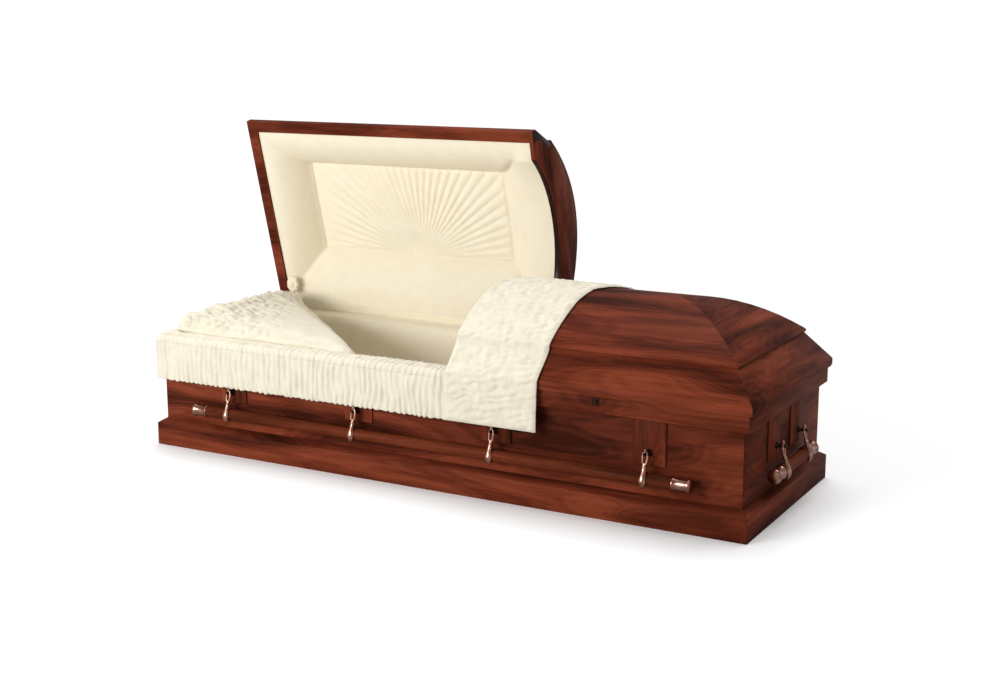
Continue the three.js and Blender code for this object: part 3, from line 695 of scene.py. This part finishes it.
arm_rows = arm_row_tree()
ear_master = ear_shape()
SIDES = {"front": (0.0, -WALL_HALF_WIDTH), "foot_end": (math.pi / 2, WALL_HALF_LENGTH),
         "back": (math.pi, WALL_HALF_WIDTH), "head_end": (-math.pi / 2, -WALL_HALF_LENGTH)}
for side, (turn, wall) in SIDES.items():
    arms = hung_row(side, turn, wall, "handle_" + side, "arm", arm_master, copper)
    ears = hung_row(side, turn, wall, "casket", "ear", ear_master, dark_bronze)
    print(side, len(arms.data.polygons), len(ears.data.polygons), "faces")
bpy.data.objects.remove(arm_master)
bpy.data.objects.remove(ear_master)

# %% [markdown]
# The bar is turned hardwood with a cast tip pushed on each end. Both are shapes of revolution, so a list of
# place and radius is enough. The tip flares a little and ends in a rolled rim.

# %% Bars and tips
TIP = [(0.0, 0.0180), (0.0, 0.0204), (0.0025, 0.0212), (0.0055, 0.0208), (0.0085, 0.0194),
       (0.014, 0.0187), (0.026, 0.0185), (0.038, 0.0192), (0.0445, 0.0204), (0.0480, 0.0217),
       (0.0525, 0.0219), (0.0555, 0.0208), (0.057, 0.0180), (0.0585, 0.0120), (0.0592, 0.0040)]


def handle_bar(side):
    body = "handle_" + side
    name = "handle_bar_" + side
    low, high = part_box(name)
    centre = (low + high) / 2
    along = 1 if side.endswith("_end") else 0
    run = Vector((1 - along, along, 0))
    across = Vector((0, 0, 1))
    half = (high - low)[along] / 2
    tip_start = half - TIP[-1][0]
    end = tip_start + 0.004
    wood = lathe([(-end, 0.017), (-end, 0.018), (end, 0.018), (end, 0.017)], centre, run, across)
    bar = mesh_piece(name + "_wood", *wood)
    closed_outward(bar.data)
    mesh = bmesh.new()
    mesh.from_mesh(bar.data)
    store_grain(mesh, name, lambda face: along, 1.7 + half)
    for edge in mesh.edges:
        edge.smooth = edge.calc_face_angle(0) < 0.7
    mesh.to_mesh(bar.data)
    mesh.free()
    finish_piece(bar, body, bar_wood, [name])
    tips = [lathe(TIP, centre + way * tip_start, way, across) for way in (run, -run)]
    metal = mesh_piece("handle_tips_" + side, *joined(tips))
    closed_outward(metal.data)
    finish_piece(metal, body, copper)
    return half


for side in SIDES:
    print(side, "bar half length", round(handle_bar(side), 3))

# %% [markdown]
# Two cloths dress the casket: smooth crepe in the cap and body, and a soft napped velvet for the pillow, the
# extendover and the throw. At this distance a weave is finer than a pixel, so it goes into a small bump.
# What the eye reads is the nap, which lightens the cloth where it turns away, so both get sheen.

# %% Cloth materials
def cloth_group():
    group, given = new_group("cloth_surface", ("Thread scale",), ("Mottle", "Height"))
    place = given["Position"]
    return close_group(group, {
        "Mottle": noise_at(group, place, Scale=22.0, Detail=4.0, Roughness=0.65),
        "Height": noise_at(group, place, Scale=given["Thread scale"], Detail=3.0)})


def cloth_material(name, shade, bright, thread_scale, bump_strength, sheen):
    material, tree, shader = new_material(name)
    place = node(tree, "ShaderNodeTexCoord").outputs["Object"]
    cloth = node(tree, "ShaderNodeGroup", {}, node_tree=cloth_surface)
    fill(tree, cloth, {"Position": place, "Thread scale": thread_scale})
    fill(tree, shader, {"Base Color": ramp(tree, cloth.outputs["Mottle"], [(0.3, shade), (0.62, bright)]),
                        "Normal": bumped(tree, cloth.outputs["Height"], bump_strength, 0.0012),
                        "Roughness": 0.85, "Specular IOR Level": 0.2,
                        "Sheen Weight": sheen, "Sheen Roughness": 0.5})
    return material


cloth_surface = cloth_group()
crepe = cloth_material("cream_crepe", (0.87, 0.79, 0.61), (0.90, 0.825, 0.655), 700.0, 0.25, 0.15)
velvet = cloth_material("cream_velvet", (0.74, 0.675, 0.535), (0.81, 0.75, 0.61), 420.0, 0.5, 0.3)
print("cloths ready")

# %% [markdown]
# A few helpers serve all the soft pieces: a sheet through rows of points, the area of one of its sides,
# smooth noise, an ease from 0 to 1, and a curve through a table of pairs.

# %% Cloth helpers
def grid_piece(name, rows, thickness=0.0):
    """A sheet through rows of points, all the same length. Its faces point along columns x rows."""
    columns = len(rows[0])
    points = [p for row in rows for p in row]
    faces = [(i * columns + k, i * columns + k + 1, (i + 1) * columns + k + 1, (i + 1) * columns + k)
             for i in range(len(rows) - 1) for k in range(columns - 1)]
    piece = mesh_piece(name, points, faces)
    if thickness:
        solid = piece.modifiers.new("thickness", "SOLIDIFY")
        solid.thickness = thickness
        solid.offset = -1
        applied(piece)
    return piece


def wobble(x, y, z=0.0):
    return noise.noise(Vector((x, y, z)))


def ease(t):
    t = min(max(t, 0.0), 1.0)
    return t * t * (3 - 2 * t)


def along_table(table, x):
    for (x0, y0), (x1, y1) in zip(table, table[1:]):
        if x <= x1:
            return y0 + (y1 - y0) * ease((x - x0) / (x1 - x0))
    return table[-1][1]


print("cloth helpers ready")

# %% [markdown]
# The extendover is one long cloth, shirred on a cord so that it falls in narrow upright pleats. It hangs
# outside the rim at the front and round the head end, and rolls over the rim to the inside. When the head
# cap closes, the part on the rim is pressed flat, so the cloth is made as two pieces that meet at the height
# of the rim: the hanging flap, which never moves, and the roll.

# %% Extendover
SEAM_Z = 0.3648
PLEAT = 0.0220
FLAP = [(0.0225, 0.2375), (0.0250, 0.2362), (0.0262, 0.2385), (0.0262, 0.262), (0.0255, 0.300),
        (0.0258, 0.338), (0.0262, SEAM_Z)]
ROLL = [(0.0258, SEAM_Z - 0.0012), (0.0266, SEAM_Z + 0.0004), (0.0268, 0.3755), (0.0240, 0.3835),
        (0.0140, 0.3878), (0.0, 0.3888), (-0.014, 0.3915), (-0.027, 0.3915), (-0.0365, 0.3840),
        (-0.0402, 0.3720), (-0.0405, SEAM_Z)]
FLAP_OUT = 0.0262
LEGS = (0.69, 0.02, 1.14)


def rim_point(share, out):
    """A point at this distance out from the walls, from the back of the head end round to the cut."""
    corner = max(0.003, 0.010 + out)
    half_x, half_y = WALL_HALF_LENGTH + out, WALL_HALF_WIDTH + out
    end_leg, corner_leg, front_leg = LEGS
    place = share * sum(LEGS)
    if place < end_leg:
        return -half_x, 0.350 + (corner - half_y - 0.350) * place / end_leg
    if place < end_leg + corner_leg:
        turn = math.pi / 2 * (place - end_leg) / corner_leg
        return corner - half_x + corner * -math.cos(turn), corner - half_y + corner * -math.sin(turn)
    t = (place - end_leg - corner_leg) / front_leg
    return corner - half_x + (0.0985 - corner + half_x) * t, -half_y


def pleat_depth(run, height):
    """From 0 in a fold to 1 on a pleat. The folds wander, and now and then two of them join."""
    wander = run + 0.022 * wobble(run * 7, height * 11) + 0.0060 * wobble(run * 34, height * 22, 4)
    fold = abs(math.cos(math.pi * wander / PLEAT)) ** 0.9
    lift = 0.72 + 0.75 * wobble(run * 30, height * 16, 9)
    return fold * min(max(lift, 0.2), 1.0) + 0.10 * wobble(run * 110, height * 60, 2)


def shirred(name, profile, depth_at, columns, steps):
    rows = []
    for out, z, depth in [(*p[:2], depth_at(i / steps / (len(profile) - 1)))
                          for i, p in enumerate(smooth_line(profile, steps))]:
        row = []
        for k in range(columns + 1):
            share = k / columns
            pleat = depth * pleat_depth(share * sum(LEGS), z + (FLAP_OUT - out) * 0.6)
            over = ease((z - SEAM_Z) / 0.022)
            x, y = rim_point(share, out + pleat * (1 - over))
            hem = 0.45 * pleat * ease((0.245 - z) / 0.009)
            row.append((x, y, z + (pleat - 0.003) * over - hem))
        rows.append(row)
    return grid_piece(name, rows, 0.0012)


def make_extendover(columns=1100):
    flap = shirred("extendover_flap_cloth", FLAP,
                   lambda t: 0.0064 + 0.0014 * math.sin(math.pi * t), columns, 2)
    roll = shirred("extendover_roll_cloth", ROLL, lambda t: 0.0066 * (1 - 0.4 * t), columns, 2)
    for piece, depth, nodes in ((flap, 0.130, ["extendover_front_flap", "extendover_head_flap"]),
                                (roll, 0.105, ["extendover_roll"])):
        finish_piece(piece, "casket", velvet, nodes)
    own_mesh(roll)
    return flap, roll


extendover = make_extendover()
print("extendover", [len(p.data.polygons) for p in extendover])

# %% [markdown]
# The lining of the head cap is one padded surface. Over the whole mouth of the cap its depth follows a rule:
# the border swells up from the rail and falls to a sunken panel, the border at the hinge is a wide bolster,
# and the panel is pleated like a fan from the middle of its lower edge. It is worked out with the cap
# closed, where depth is simply Z, and then turned open about the hinge.

# %% Head cap lining
LINING_X = (-1.0290, 0.0835)
LINING_Y = (-0.3290, 0.3290)
PANEL_X = (-0.912, -0.101)
PANEL_Y = (-0.178, 0.159)
PANEL_Z = 0.4975
EDGE_Z = 0.3705
FAN = Vector((-0.480, 0.170, 0))


def arch_height(y):
    radius = (ARCH_HALF_SPAN ** 2 + ARCH_RISE ** 2) / (2 * ARCH_RISE)
    return ARCH_FOOT + ARCH_RISE - radius + math.sqrt(max(radius * radius - min(abs(y), 0.27) ** 2, 0.0))


def fan_pleat(x, y):
    dx, dy = x - FAN.x, FAN.y - y
    reach = math.hypot(dx, dy)
    angle = math.atan2(dx, dy)
    fold = abs(math.sin(angle * 34.0 + 0.25 * wobble(reach * 9, angle * 3))) ** 0.8
    sides, far = ease((abs(dx) - 0.30) / 0.12), ease((reach - 0.26) / 0.15)
    fade = ease((reach - 0.02) / 0.06) * (1 - 0.75 * sides) * (1 - 0.35 * far)
    return (0.0050 + 0.014 * reach) * fold * fade


def lining_depth(x, y):
    shares = [
        ((PANEL_X[0] - x) / (PANEL_X[0] - LINING_X[0]), EDGE_Z, 0.62),
        ((x - PANEL_X[1]) / (LINING_X[1] - PANEL_X[1]), max(EDGE_Z, arch_height(y) - 0.001), 0.62),
        ((PANEL_Y[0] - y) / (PANEL_Y[0] - LINING_Y[0]), EDGE_Z, 0.62),
        ((y - PANEL_Y[1]) / (LINING_Y[1] - PANEL_Y[1]), EDGE_Z, 0.72),
    ]
    share, edge, power = max(shares)
    if share <= 0:
        inside = min(-share, 1.0)
        return PANEL_Z - fan_pleat(x, y) * ease(inside * 14) + 0.003 * (1 - ease(inside * 22))
    swell = math.sin(math.pi / 2 * min(share, 1.0)) ** power
    puff = 0.0045 * math.sin(math.pi * min(share, 1.0)) * (1 + 0.8 * wobble(x * 5, y * 5, 3))
    return PANEL_Z + 0.003 - (PANEL_Z - edge) * swell - puff


def spaced(low, high, count):
    return [low + (high - low) * i / count for i in range(count)]


def opened(point):
    return Matrix.Rotation(-OPEN_ANGLE, 3, "X") @ (Vector(point) - HINGE) + HINGE


def make_cap_lining():
    xs = (spaced(LINING_X[0], PANEL_X[0], 18) + spaced(PANEL_X[0], PANEL_X[1], 230)
          + spaced(PANEL_X[1], LINING_X[1], 20) + [LINING_X[1]])
    ys = (spaced(LINING_Y[0], PANEL_Y[0], 18) + spaced(PANEL_Y[0], PANEL_Y[1], 64)
          + spaced(PANEL_Y[1], LINING_Y[1], 26) + [LINING_Y[1]])
    rows = [[(x, y, lining_depth(x, y)) for x in xs] for y in ys]
    skirt = ((0.3288, 0.36555), (0.3312, 0.36550), (0.3590, 0.36550))
    rows += [[(x, y, z) for x in xs] for y, z in skirt]
    rows = [[opened(p) for p in row] for row in reversed(rows)]
    piece = grid_piece("head_cap_padding", rows)
    finish_piece(piece, "head_cap", crepe, ["head_cap_lining"])
    return piece


cap_padding = make_cap_lining()
print("cap lining", len(cap_padding.data.polygons))

# %% [markdown]
# The throw lies over the cut edge of the foot cap and hangs in front. It is a grid whose rows follow the
# cap's section from the front hem, up the eave and hip, over the crown and down to the back hip, and whose
# two long edges follow lines that were read from the photograph. Its quilting is a ripple across the run.

# %% Throw
THROW_LEFT = [(0.0, 0.0962), (0.145, 0.0975), (0.165, 0.1020), (0.24, 0.1025), (0.34, 0.1025),
              (0.50, 0.1040), (0.60, 0.124), (0.66, 0.150), (0.72, 0.190), (1.06, 0.235)]
THROW_RIGHT = [(0.0, 0.409), (0.16, 0.412), (0.27, 0.417), (0.47, 0.423), (0.58, 0.431), (0.64, 0.453),
               (0.69, 0.478), (0.80, 0.497), (1.06, 0.502)]


def cap_section(lift):
    """Points of Y and Z over the foot cap, this far outside its surface."""
    line = [(-0.3735 - lift, 0.2375), (-0.3740 - lift, 0.300), (-0.3742 - lift, 0.350),
            (-0.3735 - lift, 0.379), (-0.3690 - lift * 0.94, 0.3960 + lift * 0.3),
            (-0.338 - lift * 0.78, 0.430 + lift * 0.64), (-0.3065 - lift * 0.8, 0.470 + lift * 0.5),
            (-0.3045 - lift * 0.9, 0.484 + lift * 0.2), (-0.3005 - lift * 0.5, 0.4905 + lift * 0.8)]
    for i in range(1, 20):
        y = -0.296 + 0.592 * i / 20
        slope = 2 * CROWN_RISE * y / CROWN_HALF_WIDTH ** 2
        scale = lift / math.hypot(1, slope)
        crown = CROWN_START + CROWN_RISE * (1 - (y / CROWN_HALF_WIDTH) ** 2)
        line.append((y + slope * scale, crown + scale))
    line += [(0.3005 + lift * 0.5, 0.4905 + lift * 0.8), (0.3045 + lift * 0.9, 0.484 + lift * 0.2),
             (0.3065 + lift * 0.8, 0.470 + lift * 0.5), (0.3345 + lift * 0.78, 0.4395 + lift * 0.65)]
    return line


def quilt(run, x):
    warp = 0.016 * wobble(run * 8, x * 11) + 0.012 * wobble(run * 24, x * 26, 5) - (x - 0.25) * 0.20
    ridge = 1 - abs(math.sin(math.pi * (run + warp) / 0.0225)) ** 1.3
    patch = 0.62 + 1.1 * wobble(run * 17, x * 30, 2)
    return -0.0046 * ridge * min(max(patch, 0.15), 1.0) + 0.0040 * wobble(run * 40, x * 48, 7)


def even_line(points, count):
    """The same line with evenly spaced points, each with its distance along the line and its normal."""
    lengths = [0.0]
    for a, b in zip(points, points[1:]):
        lengths.append(lengths[-1] + math.dist(a, b))
    made, k = [], 0
    for i in range(count + 1):
        place = lengths[-1] * i / count
        while k < len(points) - 2 and lengths[k + 1] < place:
            k += 1
        t = (place - lengths[k]) / (lengths[k + 1] - lengths[k])
        a, b = points[k], points[k + 1]
        made.append((place, a[0] + (b[0] - a[0]) * t, a[1] + (b[1] - a[1]) * t))
    return made


def make_throw(across=90, along=300):
    line = even_line([tuple(p) for p in smooth_line(cap_section(0.0080), 4)], along)
    rows = []
    for i, (run, y, z) in enumerate(line):
        _, y0, z0 = line[max(i - 1, 0)]
        _, y1, z1 = line[min(i + 1, along)]
        size = math.dist((y0, z0), (y1, z1))
        out = (-(z1 - z0) / size, (y1 - y0) / size)
        left, right = along_table(THROW_LEFT, run), along_table(THROW_RIGHT, run)
        row = []
        for k in range(across + 1):
            share = k / across
            x = left + (right - left) * share
            edge = min(share, 1 - share) * (right - left)
            end = min(run, line[-1][0] - run)
            round_off = 0.0052 * (1 - ease(min(edge, end) / 0.012))
            lift = (quilt(run, x) * (0.15 + 0.85 * ease(min(edge, end) / 0.018)) - round_off
                    + 0.0028 * ease(edge / 0.05) * wobble(run * 7, x * 7, 8))
            row.append((x, y + out[0] * lift, z + out[1] * lift))
        rows.append(row)
    piece = grid_piece("throw_cloth", [list(reversed(row)) for row in rows], 0.0025)
    finish_piece(piece, "foot_cap", velvet, ["throw"])
    return piece


throw_cloth = make_throw()
print("throw", len(throw_cloth.data.polygons))

# %% [markdown]
# Where the caps turn there is no wood or metal to be seen in the photograph, only cloth that comes over the
# back rim and falls to the bed. It could be part of the lining inside the walls, but that lining is a closed
# pad, and this is one loose sheet, so it is a grid of its own that follows a fall of points.

# %% Cloth at the hinge
def make_hinge_cloth():
    """Cloth over the back rim and round the hinge, so that no wood or metal shows between cap and body."""
    xs = spaced(-1.020, 0.098, 120) + [0.098]
    fall = [(0.2550, 0.2265), (0.2700, 0.2300), (0.2790, 0.2420), (0.2835, 0.2620), (0.2855, 0.2900),
            (0.2870, 0.3180), (0.2910, 0.3400), (0.3000, 0.3555), (0.3150, 0.3635), (0.3300, 0.36505)]
    profile = [tuple(p) for p in smooth_line(fall, 3)] + [(0.3590, 0.36500)]
    barrel = 0.0030
    for degrees in range(0, 100, 20):
        turn = math.radians(degrees)
        profile.append((HINGE.y - barrel * math.cos(turn), HINGE.z + barrel * math.sin(turn)))
    rows = []
    for y, z in profile:
        row = []
        for x in xs:
            slack = 0.0030 * wobble(x * 12, z * 9) * ease((0.36 - z) / 0.05)
            row.append((x, y + slack + (max(y, 0.3010) - y - slack) * ease((x - 0.01) / 0.08), z))
        rows.append(row)
    piece = grid_piece("hinge_cloth", rows)
    finish_piece(piece, "casket", crepe)
    return piece


hinge_cloth = make_hinge_cloth()
print("hinge cloth", len(hinge_cloth.data.polygons))

# %% [markdown]
# In the corner of the head cap the lining is drawn together into a small rosette. It is a ball whose surface
# is folded by a wave round its axis. It would meet the body when the cap closes, so it is squashed towards
# the lining, as a real one gives way.

# %% Corner tuft
TUFT_AT = Vector((-0.990, 0.322, 0.462))
TUFT_SIZE = Vector((0.024, 0.016, 0.030))


def make_tuft():
    """A gathered rosette where the cap's lining is drawn to its corner."""
    made = bmesh.new()
    bmesh.ops.create_icosphere(made, subdivisions=5, radius=1.0)
    for vertex in made.verts:
        way = vertex.co.normalized()
        turn = math.atan2(way.z, way.x)
        lumps = 0.12 * wobble(way.x * 3, way.y * 3, way.z * 3)
        fold = 1 + 0.10 * math.cos(turn * 9 + way.y * 4) * (1 - abs(way.y)) + lumps
        pinch = 1 - 0.30 * math.exp(-((way.y + 0.75) / 0.25) ** 2)
        vertex.co = TUFT_AT + way * TUFT_SIZE * fold * pinch
    piece = mesh_piece("cap_tuft", [], [])
    made.to_mesh(piece.data)
    made.free()
    shade_smooth(piece)
    finish_piece(piece, "head_cap", crepe)
    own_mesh(piece)
    return piece


tuft = make_tuft()
print("tuft", len(tuft.data.polygons))

# %% [markdown]
# The pillow, the bed and the lining inside the walls are soft solids. Each starts as a copy of its CAD solid,
# rebuilt by a voxel remesh into even faces that can be smoothed and pushed about.

# %% Soft solid helpers
def remeshed(name, source, voxel):
    made = bpy.data.objects.new(name, bpy.data.objects[source].data.copy())
    bpy.context.scene.collection.objects.link(made)
    closed_outward(made.data)
    remesh = made.modifiers.new("remesh", "REMESH")
    remesh.mode = "VOXEL"
    remesh.voxel_size = voxel
    applied(made)
    return made


def smoothed(piece, factor, times):
    soften = piece.modifiers.new("soften", "SMOOTH")
    soften.factor = factor
    soften.iterations = times
    applied(piece)
    shade_smooth(piece)
    return piece


def pushed(piece, amount_at):
    """Moves each point along its normal by what the rule gives for its place."""
    normals = [Vector(v.normal) for v in piece.data.vertices]
    for vertex, normal in zip(piece.data.vertices, normals):
        vertex.co += normal * amount_at(vertex.co, normal)
    piece.data.update()


print("soft solid helpers ready")

# %% [markdown]
# The pillow is velvet over loose filling, gathered at its seams. A short cloth simulation blows it up, as
# real filling would do. The remesh rounds off its pointed side, so that side is drawn out again by a rule,
# and the gathers come last, because smoothing would take them away.

# %% Pillow
FILL_FRAMES = 20


def inflated(piece, cap):
    """A short cloth simulation with pressure. No point moves further than the cap."""
    start = [Vector(v.co) for v in piece.data.vertices]
    cloth = piece.modifiers.new("fill", "CLOTH")
    cloth.settings.use_pressure = True
    cloth.settings.uniform_pressure_force = 4.0
    cloth.settings.effector_weights.gravity = 0
    cloth.point_cache.frame_start = 1
    cloth.point_cache.frame_end = FILL_FRAMES
    for step in range(1, FILL_FRAMES + 1):
        bpy.context.scene.frame_set(step)
    applied(piece)
    bpy.context.scene.frame_set(1)
    for vertex, old in zip(piece.data.vertices, start):
        move = vertex.co - old
        if move.length > cap:
            vertex.co = old + move * (cap / move.length)
    piece.data.update()
    return piece


def gathers(place, normal):
    """Short tucks on the pillow, strong at its head and front and gone towards the slanting side."""
    share = ease((-0.50 - place.x - 0.5 * (place.y + 0.3)) / 0.30) * ease((normal.z + 0.3) / 0.4)
    tuck = abs(wobble(place.x * 24, place.y * 38, place.z * 14)) ** 0.7
    small = abs(wobble(place.x * 70, place.y * 70, place.z * 30)) ** 0.8
    band = ease((0.410 - place.z) / 0.02) * ease((place.z - 0.36) / 0.01)
    tucked = 0.006 * ease((-0.262 - place.y) / 0.03) * band
    return (tucked - 0.019 * share * (0.55 - tuck) - 0.009 * share * (0.4 - small)
            + 0.004 * wobble(place.x * 9, place.y * 9, 6))


def make_pillow():
    pillow = smoothed(remeshed("pillow_velvet", "pillow", 0.009), 0.6, 8)
    pushed(pillow, lambda place, normal: -0.006)
    smoothed(inflated(pillow, 0.009), 0.5, 4)
    for vertex in pillow.data.vertices:
        x, y, _ = vertex.co
        vertex.co.x += 0.085 * min(max((0.25 - y) / 0.55, 0), 1) * ease((x + 0.95) / 0.35)
    finer = pillow.modifiers.new("finer", "SUBSURF")
    finer.levels = finer.render_levels = 1
    applied(pillow)
    pushed(pillow, gathers)
    shade_smooth(pillow)
    finish_piece(pillow, "casket", velvet, ["pillow"])
    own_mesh(pillow)
    return pillow


pillow = make_pillow()
print("pillow", len(pillow.data.polygons))

# %% [markdown]
# The bed and the lining inside the walls are crepe over thin padding. Their edges only need to be softened,
# which smoothing does without a simulation.

# %% Bed and wall lining
def soft_solid(source, voxel, times):
    piece = smoothed(remeshed(source + "_crepe", source, voxel), 0.5, times)
    finish_piece(piece, "casket", crepe, [source])
    return piece


bed = soft_solid("bed", 0.014, 12)
body_lining = soft_solid("body_lining", 0.007, 4)
print("bed", len(bed.data.polygons), "lining", len(body_lining.data.polygons))

# %% [markdown]
# Last, colours are shown as they are.

# %% Finish
bpy.context.scene.view_settings.view_transform = "Standard"
